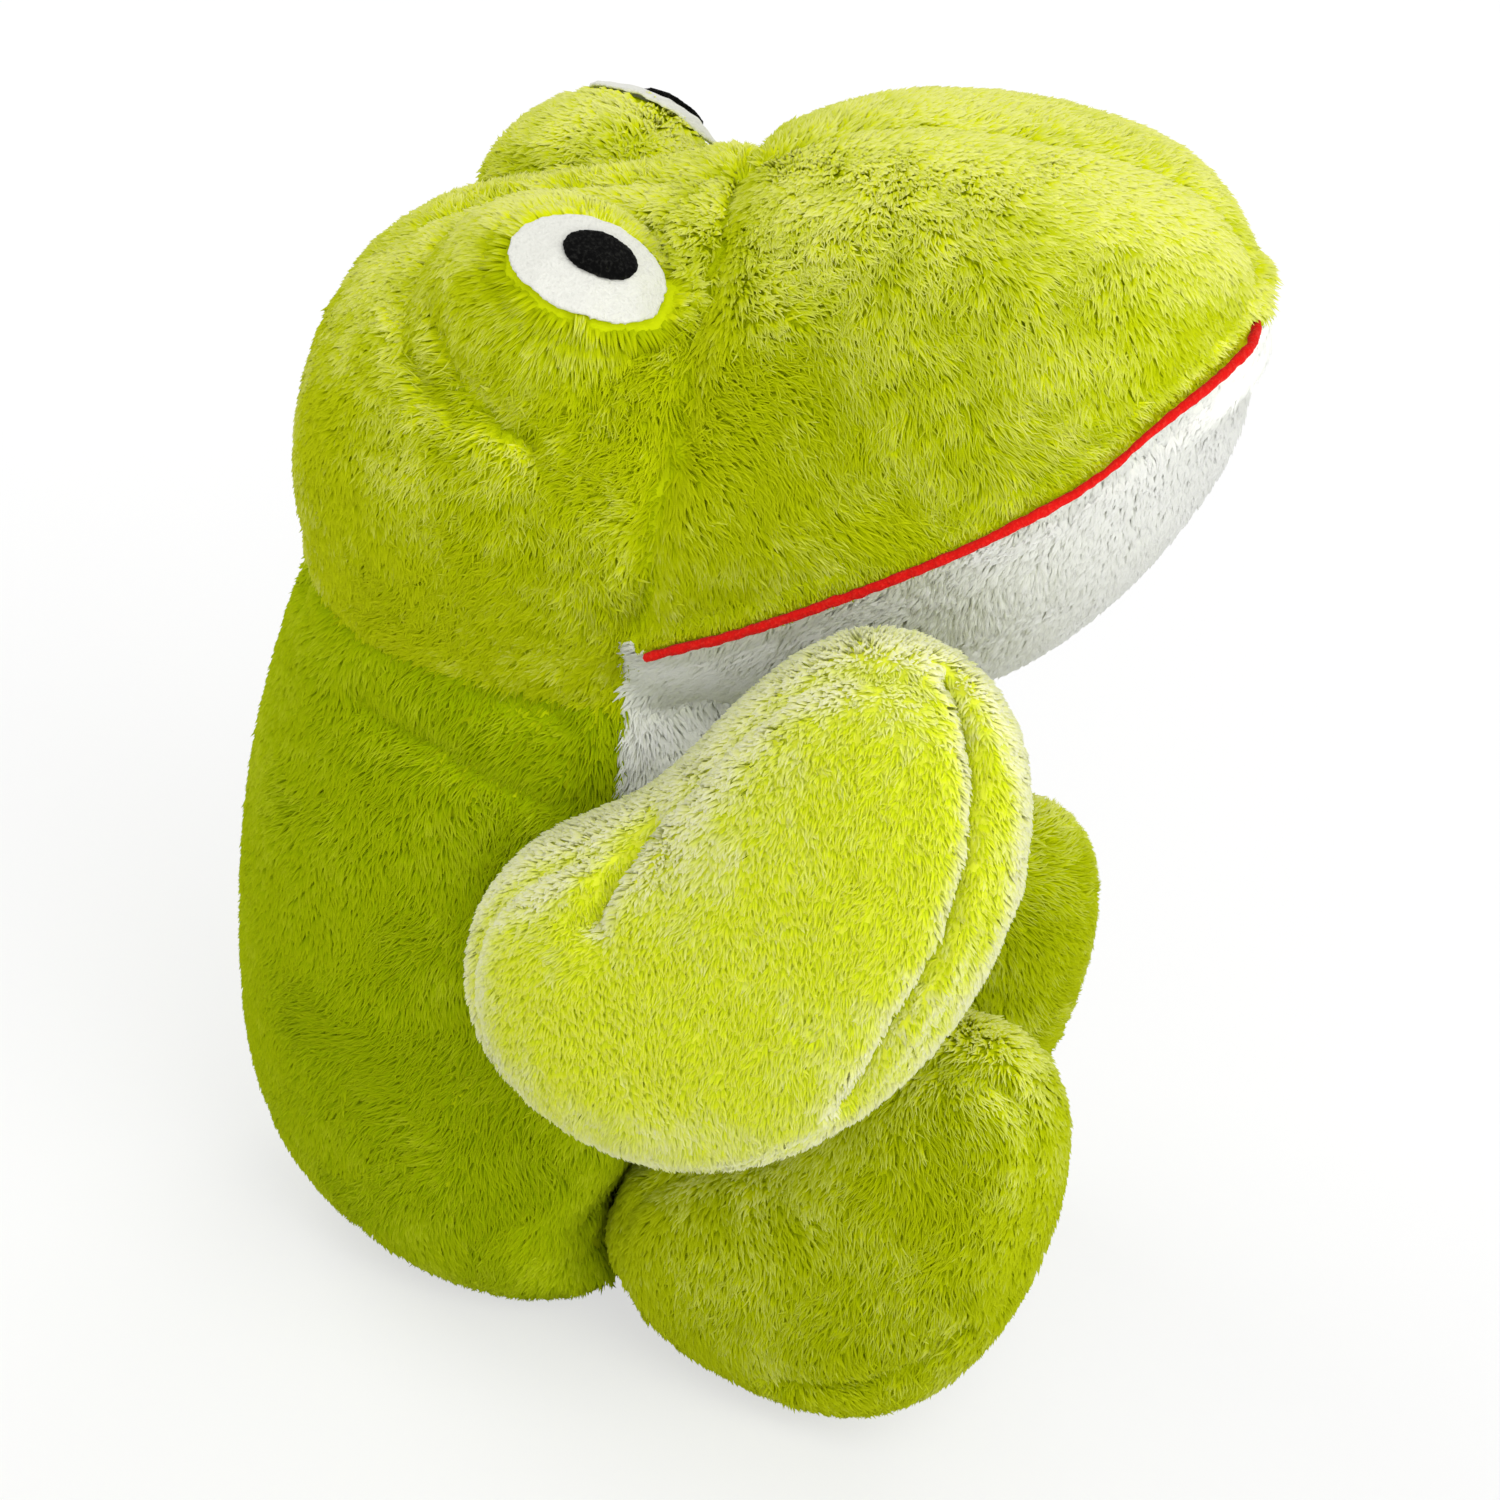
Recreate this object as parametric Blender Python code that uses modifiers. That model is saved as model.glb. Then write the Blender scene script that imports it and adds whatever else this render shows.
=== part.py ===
# A seated plush frog: sewn fabric panels over stuffing, with arms, legs and a head that flex on
# their seams. It faces -Y, its left is +X, and it rests on the plane z = 0.
import bpy
import bmesh
from math import cos, sin, tan, pi, radians, copysign
from mathutils import Vector

for old in list(bpy.data.objects):
    bpy.data.objects.remove(old, do_unlink=True)

# Driving sizes of the body, the head and the limbs, in metres.
body_width = 0.118
body_depth = 0.136
neck_height = 0.163
neck_back = 0.045
set_forward = -0.0011
head_length = 0.198
head_width = 0.126
head_height = 0.149
arm_length = 0.117
arm_height = 0.139
arm_thickness = 0.046
leg_length = 0.107
leg_height = 0.120
leg_thickness = 0.049

# The fabric, the seams and the gaps between pieces.
fabric_wall = 0.004
felt_thickness = 0.001
cord_radius = 0.0013
fit_gap = 0.0003
core_gap = 0.0005
sweep_gap = 0.0008
neck_reach = 0.066
cord_gap = 0.0006
cord_step = 0.004
seat_panel_reach = 0.012
overrun = 0.3
weld = 0.00001
half = 0.5

# Angles, in degrees.
limb_splay = 12
nod_slope = 4
arm_back = 15
arm_down = 20
leg_lift = 15
leg_drop = 10

# A cage shrinks when it is smoothed, so it is drawn this share larger.
swell = 1.03

model = bpy.data.collections.new("plush_frog")
cutters = bpy.data.collections.new("cutters")
bpy.context.scene.collection.children.link(model)
bpy.context.scene.collection.children.link(cutters)

x_axis = Vector((1, 0, 0))
y_axis = Vector((0, 1, 0))
z_axis = Vector((0, 0, 1))
side_view = (x_axis, y_axis, z_axis)
top_view = (z_axis, x_axis, y_axis)


def material(name, colour, roughness):
    made = bpy.data.materials.new(name)
    made.use_nodes = True
    shader = made.node_tree.nodes["Principled BSDF"]
    shader.inputs["Base Color"].default_value = (*colour, 1)
    shader.inputs["Roughness"].default_value = roughness
    shader.inputs["Metallic"].default_value = 0
    return made


green = (0.36, 0.50, 0.02)
arm_green = (0.46, 0.60, 0.06)
white = (0.80, 0.82, 0.76)
cloths = {
    "cheek": (green, 0.95),
    "muzzle": (green, 0.95),
    "chin": (white, 0.95),
    "dome": (green, 0.95),
    "felt": ((0.86, 0.86, 0.84), 0.9),
    "pupil": ((0.01, 0.01, 0.01), 0.85),
    "cord": ((0.68, 0.03, 0.02), 0.8),
    "back": (green, 0.95),
    "belly": (white, 0.95),
    "seat": (green, 0.95),
    "arm": (arm_green, 0.95),
    "leg": (green, 0.95),
    "stuffing": ((0.9, 0.9, 0.88), 1),
}


def pivot(name, place):
    empty = bpy.data.objects.new(name, None)
    empty.location = place
    model.objects.link(empty)
    return empty


def placed(name, bm, parent, cloth=None):
    bmesh.ops.recalc_face_normals(bm, faces=bm.faces)
    mesh = bpy.data.meshes.new(name)
    bm.to_mesh(mesh)
    bm.free()
    mesh.shade_smooth()
    obj = bpy.data.objects.new(name, mesh)
    obj.parent = parent
    if cloth:
        model.objects.link(obj)
        mesh.materials.append(material(name, *cloths[cloth]))
    else:
        cutters.objects.link(obj)
        obj.hide_render = True
        obj.display_type = "WIRE"
    return obj


def combine(obj, others, operation="DIFFERENCE"):
    for other in others:
        step = obj.modifiers.new(other.name, "BOOLEAN")
        step.operation = operation
        step.solver = "EXACT"
        step.object = other
    return obj


# Rounds a cage, and splits it into triangles, because a cut needs flat faces.
def smooth(obj):
    step = obj.modifiers.new("smooth", "SUBSURF")
    step.levels = 1
    step.render_levels = 1
    obj.modifiers.new("flat_faces", "TRIANGULATE")
    return obj


# A closed cage through rings that share a number of points: a ring of edges is pulled up one unit
# at a time, and then each place in places turns a point of the unit circle into its own ring's.
def loft(places, count):
    bm = bmesh.new()
    bmesh.ops.create_circle(bm, cap_ends=True, segments=count, radius=1)
    ring = bm.edges[:]
    for step in places[1:]:
        grown = bmesh.ops.extrude_edge_only(bm, edges=ring)["geom"]
        verts = {item for item in grown if isinstance(item, bmesh.types.BMVert)}
        ring = [item for item in grown if isinstance(item, bmesh.types.BMEdge)
                and verts.issuperset(item.verts)]
        bmesh.ops.translate(bm, verts=list(verts), vec=z_axis)
    bmesh.ops.contextual_create(bm, geom=ring)
    for vert in bm.verts:
        vert.co = places[round(vert.co.z)](vert.co.x, vert.co.y)
    bm.normal_update()
    return bm


# Moves every point of a cage inwards, square to its surface. An inner cage is split into
# triangles first, so that cages drawn in by different depths stay parallel.
def draw_in(bm, depth):
    bmesh.ops.recalc_face_normals(bm, faces=bm.faces)
    if depth > 0:
        bmesh.ops.triangulate(bm, faces=bm.faces, quad_method="FIXED")
    bm.normal_update()
    for vert in bm.verts:
        vert.co -= vert.normal * depth
    return bm


# A straight block: the outline (u, v) along the last two axes, from low to high along the first.
def block(name, outline, low, high, axes, parent):
    across, along, rise = axes
    bm = bmesh.new()
    verts = [bm.verts.new(across * low + along * u + rise * v) for u, v in outline]
    face = bmesh.ops.contextual_create(bm, geom=verts)["faces"]
    grown = bmesh.ops.extrude_face_region(bm, geom=face)["geom"]
    tops = [item for item in grown if isinstance(item, bmesh.types.BMVert)]
    bmesh.ops.translate(bm, verts=tops, vec=across * (high - low))
    return placed(name, bm, parent)


# Everything between two levels through the side view, as the outline of a block. With a lean, both
# levels move back by that share of the height above a given height.
def beyond(start, stop, lean=0, height=0):
    low, high = lean * (-overrun - height), lean * (overrun - height)
    return [(start + low, -overrun), (stop + low, -overrun), (stop + high, overrun),
            (start + high, overrun)]


def oval(width, height, count, middle=(0, 0)):
    turns = [2 * pi * (step + half) / count for step in range(count)]
    return [(middle[0] + width * cos(turn), middle[1] + height * sin(turn)) for turn in turns]


body = pivot("body", (0, set_forward, 0))
neck = pivot("neck", (0, neck_back + set_forward, neck_height))

# The body, as level rings from the seat up to the neck. A row has the height as a share of
# neck_height, the half width as a share of body_width, and the reach to the front and to the back
# as shares of body_depth, measured from the widest place.
body_middle_share = 0.147
body_ring_shares = [
    (-0.009, 0.280, 0.191, 0.254),
    (0.025, 0.390, 0.257, 0.375),
    (0.110, 0.475, 0.324, 0.493),
    (0.276, 0.513, 0.360, 0.562),
    (0.491, 0.517, 0.338, 0.596),
    (0.712, 0.513, 0.294, 0.607),
    (1.000, 0.447, 0.200, 0.574),
    (1.141, 0.356, 0.147, 0.500),
]
body_ring_points = 12
body_room_points = 8


def body_place(row, scale):
    height, width, front, back = row

    def place(u, v):
        reach = back if v > 0 else front
        return Vector((
            width * body_width * u * scale,
            (body_middle_share + reach * v * scale) * body_depth,
            height * neck_height,
        ))
    return place


def body_form(name, scale, depth, cloth=None):
    places = [body_place(row, scale) for row in body_ring_shares]
    points = body_room_points if depth > 0 else body_ring_points
    return placed(name, draw_in(loft(places, points), depth), body, cloth)


# The head, as upright rings from its back to the tip of the muzzle, measured from the neck. A row
# has the place along the head as a share of head_length, the half width as a share of head_width,
# and the middle, the top, the bottom and the depth of the groove on top as shares of head_height.
head_ring_shares = [
    (0.268, 0.190, 0.268, 0.396, 0.134, 0.000),
    (0.237, 0.325, 0.268, 0.470, 0.034, 0.000),
    (0.152, 0.421, 0.275, 0.567, -0.047, 0.000),
    (0.035, 0.476, 0.282, 0.648, -0.087, 0.000),
    (-0.076, 0.480, 0.302, 0.678, -0.087, 0.007),
    (-0.157, 0.437, 0.329, 0.745, -0.087, 0.020),
    (-0.237, 0.484, 0.349, 0.862, -0.067, 0.060),
    (-0.369, 0.496, 0.396, 0.900, -0.034, 0.074),
    (-0.510, 0.452, 0.456, 0.906, 0.054, 0.074),
    (-0.611, 0.349, 0.523, 0.879, 0.201, 0.060),
    (-0.672, 0.206, 0.564, 0.785, 0.349, 0.040),
    (-0.707, 0.087, 0.577, 0.685, 0.477, 0.013),
]
head_ring_points = 12
head_room_points = 8
head_fullness = 0.86
groove_share = 0.16


def fuller(value):
    return copysign(abs(value) ** head_fullness, value)


def head_place(row, scale):
    along, width, middle, top, bottom, groove = row

    def place(u, v):
        reach = top - middle if v > 0 else middle - bottom
        height = middle + reach * fuller(v) * scale
        if v > 0 and abs(u) < groove_share:
            height -= groove
        return Vector((
            width * head_width * fuller(u) * scale,
            along * head_length,
            height * head_height,
        ))
    return place


def head_form(name, scale, depth, cloth=None):
    places = [head_place(row, scale) for row in head_ring_shares]
    points = head_room_points if depth > 0 else head_ring_points
    return placed(name, draw_in(loft(places, points), depth), neck, cloth)


# The limbs. An outline has its points as shares of the length and the height, measured from the
# pivot. The profile has, from the inner side to the outer side, a place as a share of the half
# thickness and the share that the outline is drawn in to there: towards its middle on the outer
# side, and more and more towards the pivot on the inner side, where it is sewn to the body.
limbs = {
    "arm": {
        "length": arm_length,
        "height": arm_height,
        "half": arm_thickness / 2,
        "outline_shares": [
            (0.325, 0.662), (0.504, 0.683), (0.675, 0.619), (0.752, 0.432),
            (0.748, 0.216), (0.667, -0.014), (0.496, -0.230), (0.274, -0.349),
            (0.017, -0.342), (-0.171, -0.237), (-0.231, -0.058), (-0.154, 0.144),
            (0.077, 0.245), (0.171, 0.453),
        ],
        "middle_share": (0.28, 0.12),
        "pivot_shares": (0.690, 0.103, 0.798),
        "swing": (-arm_down, arm_back),
        "sewn_share": 1,
    },
    "leg": {
        "length": leg_length,
        "height": leg_height,
        "half": leg_thickness / 2,
        "outline_shares": [
            (-0.271, -0.017), (-0.215, -0.167), (-0.037, -0.267), (0.178, -0.296),
            (0.393, -0.283), (0.570, -0.175), (0.682, 0.067), (0.715, 0.333),
            (0.673, 0.575), (0.523, 0.675), (0.299, 0.642), (0.154, 0.458),
            (0.084, 0.292), (-0.131, 0.225),
        ],
        "middle_share": (0.32, 0.10),
        "pivot_shares": (0.330, -0.186, 0.209),
        "swing": (-leg_drop, leg_lift),
        "sewn_share": 0.9,
    },
}
limb_profile_shares = [(-1.1, 0.52), (-0.78, 0.87), (0, 1.01), (0.76, 0.87), (1, 0.44)]
limb_seam_share = 0.44
limb_room_share = 0.87
limb_core_share = 0.845
thinner_share = 0.09


def limb_axes(side):
    turn = radians(limb_splay)
    outwards = Vector((side * cos(turn), sin(turn), 0))
    forwards = Vector((side * sin(turn), -cos(turn), 0))
    return outwards, forwards, z_axis


def limb_pivot(kind, side):
    across, along, rise = limbs[kind]["pivot_shares"]
    return Vector((
        side * across * body_width, along * body_depth + set_forward, rise * neck_height))


def limb_outline(kind):
    limb = limbs[kind]
    return [(u * limb["length"], v * limb["height"]) for u, v in limb["outline_shares"]]


# The room for a limb's stuffing is the same form drawn smaller, through every second point.
def limb_form(name, kind, side, parent, scale, cloth=None):
    limb = limbs[kind]
    outwards, forwards, rise = limb_axes(side)
    outline = limb_outline(kind)
    thickness = 1
    if scale < 1:
        outline = outline[::2]
        thickness = scale - thinner_share
    middle_u = limb["middle_share"][0] * limb["length"]
    middle_v = limb["middle_share"][1] * limb["height"]
    places = []
    for across, share in limb_profile_shares:
        free = 1 + limb["sewn_share"] * min(across, 0)
        centre_u, centre_v = middle_u * free, middle_v * free
        points = [(
            centre_u + (u - centre_u) * share * scale,
            centre_v + (v - centre_v) * share * scale,
        ) for u, v in outline]
        depth = across * limb["half"] * thickness

        def place(u, v, points=points, depth=depth):
            turn = Vector((u, v)).angle_signed(Vector((1, 0)), 0) % (2 * pi)
            step = int(turn * len(points) / (2 * pi))
            return outwards * depth + forwards * points[step][0] + rise * points[step][1]
        places.append(place)
    bm = loft(places, len(outline))
    if scale < 1:
        bmesh.ops.triangulate(bm, faces=bm.faces, quad_method="FIXED")
    return placed(name, bm, parent, cloth)


# How far the outline reaches from the pivot in the direction of an angle.
def reach(outline, angle):
    u, v = cos(angle), sin(angle)
    best = 0
    for (au, av), (bu, bv) in zip(outline, outline[1:] + outline[:1]):
        du, dv = bu - au, bv - av
        cross = u * dv - v * du
        if cross:
            far = (au * dv - av * du) / cross
            along = (au * v - av * u) / cross
            if 0 <= along <= 1:
                best = max(best, far)
    return best


# The outline of all the room that a limb passes through as it swings.
sweep_steps = 16
swing_steps = 5


def swept(kind, gap):
    outline = limb_outline(kind)
    low, high = limbs[kind]["swing"]
    turns = [radians(low + (high - low) * step / swing_steps) for step in range(swing_steps + 1)]
    points = []
    for step in range(sweep_steps):
        angle = 2 * pi * step / sweep_steps
        far = max(reach(outline, angle - turn) for turn in turns) + gap
        points.append((far * cos(angle), far * sin(angle)))
    return points


# The rooms that the head and the limbs leave in their neighbours. A lining is the same room, one
# fabric wall larger.
def roof(name, drop):
    slope = tan(radians(nod_slope))
    low = -fit_gap * half - drop
    return block(name, [
        (-overrun, low - overrun * slope), (0, low), (overrun, low - overrun * slope),
        (overrun, overrun), (-overrun, overrun)], -overrun, overrun, side_view, neck)


cup_steps = 9


def cup(name, rise):
    lift = fit_gap * half + rise
    radius = neck_reach + fit_gap + rise
    start, stop = radians(nod_slope), radians(-180 - nod_slope)
    turns = [start + (stop - start) * step / cup_steps for step in range(cup_steps + 1)]
    edge = [(radius * cos(turn), radius * sin(turn) + lift) for turn in turns]
    return block(name, [(0, lift)] + edge, -overrun, overrun, side_view, neck)


floor = block("floor_room", [
    (-overrun, -overrun), (overrun, -overrun), (overrun, 0), (-overrun, 0)],
    -overrun, overrun, side_view, body)

roof_cut = roof("roof_cut", 0)
roof_lining = roof("roof_lining", fabric_wall)
cup_cut = cup("cup_cut", 0)
cup_lining = cup("cup_lining", fabric_wall)

sides = {"left": 1, "right": -1}
pivots = {}
rooms = []
linings = []
for kind in limbs:
    for word, side in sides.items():
        joint = pivot(f"{kind}_pivot_{word}", limb_pivot(kind, side))
        pivots[kind, word] = joint
        for name, grown, group in (("room", 0, rooms), ("lining", fabric_wall, linings)):
            group.append(block(
                f"{kind}_{name}_{word}", swept(kind, sweep_gap + grown),
                -limbs[kind]["half"] - fit_gap - grown, overrun, limb_axes(side), joint))

# Body: the shell of fabric is the form less the room for its stuffing. Its side seams lean forwards
# as they go down, and the head's seams stand above their upper ends.
seam_back_share = 0.125
seam_lean = 0.2
seam = seam_back_share * body_depth
seat_oval_shares = (0.30, 0.245, 0.32)
seat_points = 12
felt_points = 20
seam_half = fit_gap * half


def seat_block(name, extra):
    width, depth, middle = seat_oval_shares
    edge = oval(width * body_width + extra, depth * body_depth + extra, seat_points,
                (0, middle * body_depth))
    return block(name, edge, -overrun, seat_panel_reach, top_view, body)


body_room = combine(body_form("body_room", 1, fabric_wall), [roof_lining, *linings])
behind_seam = block(
    "behind_seam", beyond(seam - seam_half, overrun, seam_lean, neck_height), -overrun, overrun,
    side_view, body)
before_seam = block(
    "before_seam", beyond(-overrun, seam + seam_half, seam_lean, neck_height), -overrun, overrun,
    side_view, body)
left_of_seam = block("left_of_seam", beyond(-overrun, overrun), -seam_half, overrun,
                     side_view, body)
right_of_seam = block("right_of_seam", beyond(-overrun, overrun), -overrun, seam_half,
                      side_view, body)
around_seat = seat_block("around_seat", fit_gap)
under_seat = seat_block("under_seat", 0)
body_cuts = [roof_cut, *rooms, floor, body_room]
panels = {
    "back_panel_left": ("back", [around_seat, before_seam, right_of_seam]),
    "back_panel_right": ("back", [around_seat, before_seam, left_of_seam]),
    "belly_panel": ("belly", [around_seat, behind_seam]),
}
for name, (cloth, cuts) in panels.items():
    combine(smooth(body_form(name, swell, 0, cloth)), body_cuts + cuts)
seat = combine(smooth(body_form("seat_panel", swell, 0, "seat")), body_cuts)
combine(seat, [under_seat], "INTERSECT")
core_cuts = [roof("roof_core", fabric_wall + core_gap)]
for kind in limbs:
    for word, side in sides.items():
        grown = fabric_wall + core_gap
        core_cuts.append(block(
            f"{kind}_core_{word}", swept(kind, sweep_gap + grown),
            -limbs[kind]["half"] - fit_gap - grown, overrun, limb_axes(side), pivots[kind, word]))
combine(body_form("body_stuffing", 1, fabric_wall + core_gap, "stuffing"), core_cuts)

# Head: the cheek seam stands above the body seam, and the mouth lies on a slope through the muzzle.
cheek_seam = seam - neck_back
mouth_slope = 0.747
mouth_back_share = -0.166
mouth_height_share = 0.142
mouth_start = (mouth_back_share * head_length, mouth_height_share * head_height)


def mouth_level(along):
    return mouth_start[1] + mouth_slope * (mouth_start[0] - along)


def mouth_block(name, shift, far):
    return block(name, [
        (-overrun, mouth_level(-overrun) + shift), (overrun, mouth_level(overrun) + shift),
        (overrun, mouth_level(overrun) + far), (-overrun, mouth_level(-overrun) + far)],
        -overrun, overrun, side_view, neck)


head_room = combine(head_form("head_room", 1, fabric_wall), [cup_lining])
behind_cheek = block("behind_cheek", beyond(cheek_seam - seam_half, overrun), -overrun, overrun,
                     side_view, neck)
before_cheek = block("before_cheek", beyond(-overrun, cheek_seam + seam_half), -overrun, overrun,
                     side_view, neck)
above_mouth = mouth_block("above_mouth", -seam_half, overrun)
below_mouth = mouth_block("below_mouth", seam_half, -overrun)
head_panels = {
    "cheek_panel_left": ("cheek", [before_cheek, right_of_seam]),
    "cheek_panel_right": ("cheek", [before_cheek, left_of_seam]),
    "muzzle_panel_left": ("muzzle", [behind_cheek, below_mouth, right_of_seam]),
    "muzzle_panel_right": ("muzzle", [behind_cheek, below_mouth, left_of_seam]),
    "chin_panel": ("chin", [behind_cheek, above_mouth]),
}
for name, (cloth, cuts) in head_panels.items():
    combine(smooth(head_form(name, swell, 0, cloth)), [cup_cut, head_room] + cuts)
head_core_cut = cup("cup_core", fabric_wall + core_gap)
combine(head_form("head_stuffing", 1, fabric_wall + core_gap, "stuffing"), [head_core_cut])

# Mouth cord: it follows the line where the mouth slope meets the muzzle, just outside of it.
tracer = smooth(head_form("mouth_tracer", swell, 0))
bpy.context.view_layer.update()
depsgraph = bpy.context.evaluated_depsgraph_get()
bm = bmesh.new()
bm.from_object(tracer, depsgraph)
bm.normal_update()
slope_normal = Vector((0, mouth_slope, 1)).normalized()
cut = bmesh.ops.bisect_plane(
    bm, geom=bm.verts[:] + bm.edges[:] + bm.faces[:],
    plane_co=Vector((0, mouth_start[0], mouth_start[1])), plane_no=slope_normal)["geom_cut"]
bm.normal_update()
line = [vert for vert in cut if isinstance(vert, bmesh.types.BMVert)]
line = [vert for vert in line if vert.co.y < mouth_start[0]]
line.sort(key=lambda vert: Vector((vert.co.x, -vert.co.y + mouth_start[0])).angle_signed(x_axis.xy))
stand_off = cord_radius + cord_gap
path = []
for vert in line:
    spot = vert.co + vert.normal * stand_off
    if not path or (spot - path[-1]).length > cord_step:
        path.append(spot)
bm.free()
curve = bpy.data.curves.new("mouth_line", "CURVE")
curve.dimensions = "3D"
curve.bevel_depth = cord_radius
curve.bevel_resolution = 1
curve.use_fill_caps = True
spline = curve.splines.new("POLY")
spline.points.add(len(path) - 1)
for point, spot in zip(spline.points, path):
    point.co = (*spot, 1)
mouth_line = bpy.data.objects.new("mouth_line", curve)
cutters.objects.link(mouth_line)
bpy.context.view_layer.update()
depsgraph = bpy.context.evaluated_depsgraph_get()
bm = bmesh.new()
bm.from_mesh(bpy.data.meshes.new_from_object(mouth_line.evaluated_get(depsgraph)))
bmesh.ops.remove_doubles(bm, verts=bm.verts, dist=weld)
placed("mouth_cord", bm, neck, "cord")
bpy.data.objects.remove(mouth_line, do_unlink=True)

# Eyes: a dome on each side of the groove, with a felt oval and a felt pupil on its outer face.
dome_middle_shares = (0.238, 0.010, 0.490)
dome_radius_shares = (0.214, 0.152, 0.208)
dome_segments = 14
dome_rings = 10
dome_tilt = 10
eye_normal = Vector((0.624, -0.225, 0.748)).normalized()
eye_oval_shares = (0.084, 0.054)
eye_shift_shares = (0.007, 0.019)
pupil_oval_shares = (0.040, 0.025)
pupil_shift_shares = (0.011, 0.029)
head_size = Vector((head_width, head_length, head_height))


def dome_form(name, side, extra, cloth=None):
    bm = bmesh.new()
    bmesh.ops.create_uvsphere(bm, u_segments=dome_segments, v_segments=dome_rings, radius=1)
    radii = Vector(dome_radius_shares) * head_size + Vector((extra, extra, extra))
    middle = Vector(dome_middle_shares) * head_size
    for vert in bm.verts:
        vert.co *= radii
    bmesh.ops.rotate(bm, verts=bm.verts, cent=(0, 0, 0),
                     matrix=Vector((0, 0, 1)).rotation_difference(
                         Vector((0, -sin(radians(dome_tilt)), cos(radians(dome_tilt))))
                     ).to_matrix())
    bmesh.ops.translate(bm, verts=bm.verts, vec=(side * middle.x, middle.y, middle.z))
    return placed(name, bm, neck, cloth)


head_skin = smooth(head_form("head_skin", swell, -fit_gap))
for word, side in sides.items():
    combine(dome_form(f"eye_dome_{word}", side, 0, "dome"), [head_skin])
    outwards = Vector((side * eye_normal.x, eye_normal.y, eye_normal.z))
    back = (y_axis - outwards * y_axis.dot(outwards)).normalized()
    rise = outwards.cross(back) * side
    middle = Vector(dome_middle_shares) * head_size
    middle.x *= side
    layer = fit_gap
    for name, cloth, shares, shift in (
            ("eye_white", "felt", eye_oval_shares, eye_shift_shares),
            ("pupil", "pupil", pupil_oval_shares, pupil_shift_shares)):
        under = dome_form(f"{name}_under_{word}", side, layer)
        piece = dome_form(f"{name}_{word}", side, layer + felt_thickness, cloth)
        centre = (-shift[0] * head_length, shift[1] * head_length)
        edge = oval(shares[0] * head_length, shares[1] * head_length, felt_points, centre)
        edge = [(u + middle.dot(back), v + middle.dot(rise)) for u, v in edge]
        start = middle.dot(outwards)
        shape = block(f"{name}_edge_{word}", edge, start, start + head_width,
                      (outwards, back, rise), neck)
        combine(piece, [under, head_skin])
        combine(piece, [shape], "INTERSECT")
        layer += felt_thickness + fit_gap

# Arms and legs: the outer panel is the narrow one, and the inner panel wraps to meet it. The inner
# panel is flat where it is sewn to the body.
for kind, limb in limbs.items():
    for word, side in sides.items():
        joint = pivots[kind, word]
        axes = limb_axes(side)
        seam_place = limb_seam_share * limb["half"]
        inside = block(f"{kind}_inside_{word}", beyond(-overrun, overrun), -overrun,
                       seam_place + seam_half, axes, joint)
        outside = block(f"{kind}_outside_{word}", beyond(-overrun, overrun),
                        seam_place - seam_half, overrun, axes, joint)
        sewn = block(f"{kind}_sewn_{word}", beyond(-overrun, overrun), -overrun, -limb["half"],
                     axes, joint)
        room = limb_form(f"{kind}_stuffing_room_{word}", kind, side, joint, limb_room_share)
        for name, cuts in (("outer", [inside]), ("inner", [sewn, outside])):
            panel = limb_form(f"{kind}_{name}_panel_{word}", kind, side, joint, swell, kind)
            combine(smooth(panel), [room, floor] + cuts)
        limb_form(f"{kind}_stuffing_{word}", kind, side, joint, limb_core_share, "stuffing")
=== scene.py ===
import math
import bmesh
import bpy
import numpy as np
from mathutils import Matrix, Vector, kdtree
from mathutils import noise as ripple
from mathutils.bvhtree import BVHTree


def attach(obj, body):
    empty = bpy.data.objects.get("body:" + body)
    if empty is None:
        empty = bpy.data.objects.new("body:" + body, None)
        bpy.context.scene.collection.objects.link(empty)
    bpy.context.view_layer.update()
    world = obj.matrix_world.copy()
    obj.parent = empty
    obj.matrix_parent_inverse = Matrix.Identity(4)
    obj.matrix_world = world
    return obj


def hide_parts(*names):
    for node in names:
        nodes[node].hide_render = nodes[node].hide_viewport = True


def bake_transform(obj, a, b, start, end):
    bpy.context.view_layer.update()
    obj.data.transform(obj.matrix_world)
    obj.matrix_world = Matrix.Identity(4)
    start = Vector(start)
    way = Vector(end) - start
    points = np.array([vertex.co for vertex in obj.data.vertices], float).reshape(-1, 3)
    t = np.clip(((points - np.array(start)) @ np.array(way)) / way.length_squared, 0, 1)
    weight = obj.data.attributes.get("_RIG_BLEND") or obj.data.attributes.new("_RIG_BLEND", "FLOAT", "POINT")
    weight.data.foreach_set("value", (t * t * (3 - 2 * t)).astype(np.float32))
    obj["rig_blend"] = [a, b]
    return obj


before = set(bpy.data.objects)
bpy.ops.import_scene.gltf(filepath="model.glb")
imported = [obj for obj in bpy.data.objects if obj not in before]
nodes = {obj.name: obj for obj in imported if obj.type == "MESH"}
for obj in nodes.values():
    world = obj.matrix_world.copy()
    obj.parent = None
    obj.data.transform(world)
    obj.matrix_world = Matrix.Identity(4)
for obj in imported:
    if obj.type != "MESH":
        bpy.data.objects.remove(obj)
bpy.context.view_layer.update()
scene = bpy.context.scene
scene.view_settings.view_transform = "Standard"
dice = np.random.default_rng(11)
print("frame loaded")

# The camera looks at the target from the photograph's side, in metres and degrees.
photoView = {
    "target": (0, -0.0101, 0.1355),
    "distance": 0.85,
    "azimuth": -88,
    "elevation": 30,
    "roll": 12,
    "metresPerPixel": 0.0002208,
    "pixels": 1500,
    "sensor": 36,
    "nearest": 0.01,
}


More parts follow.
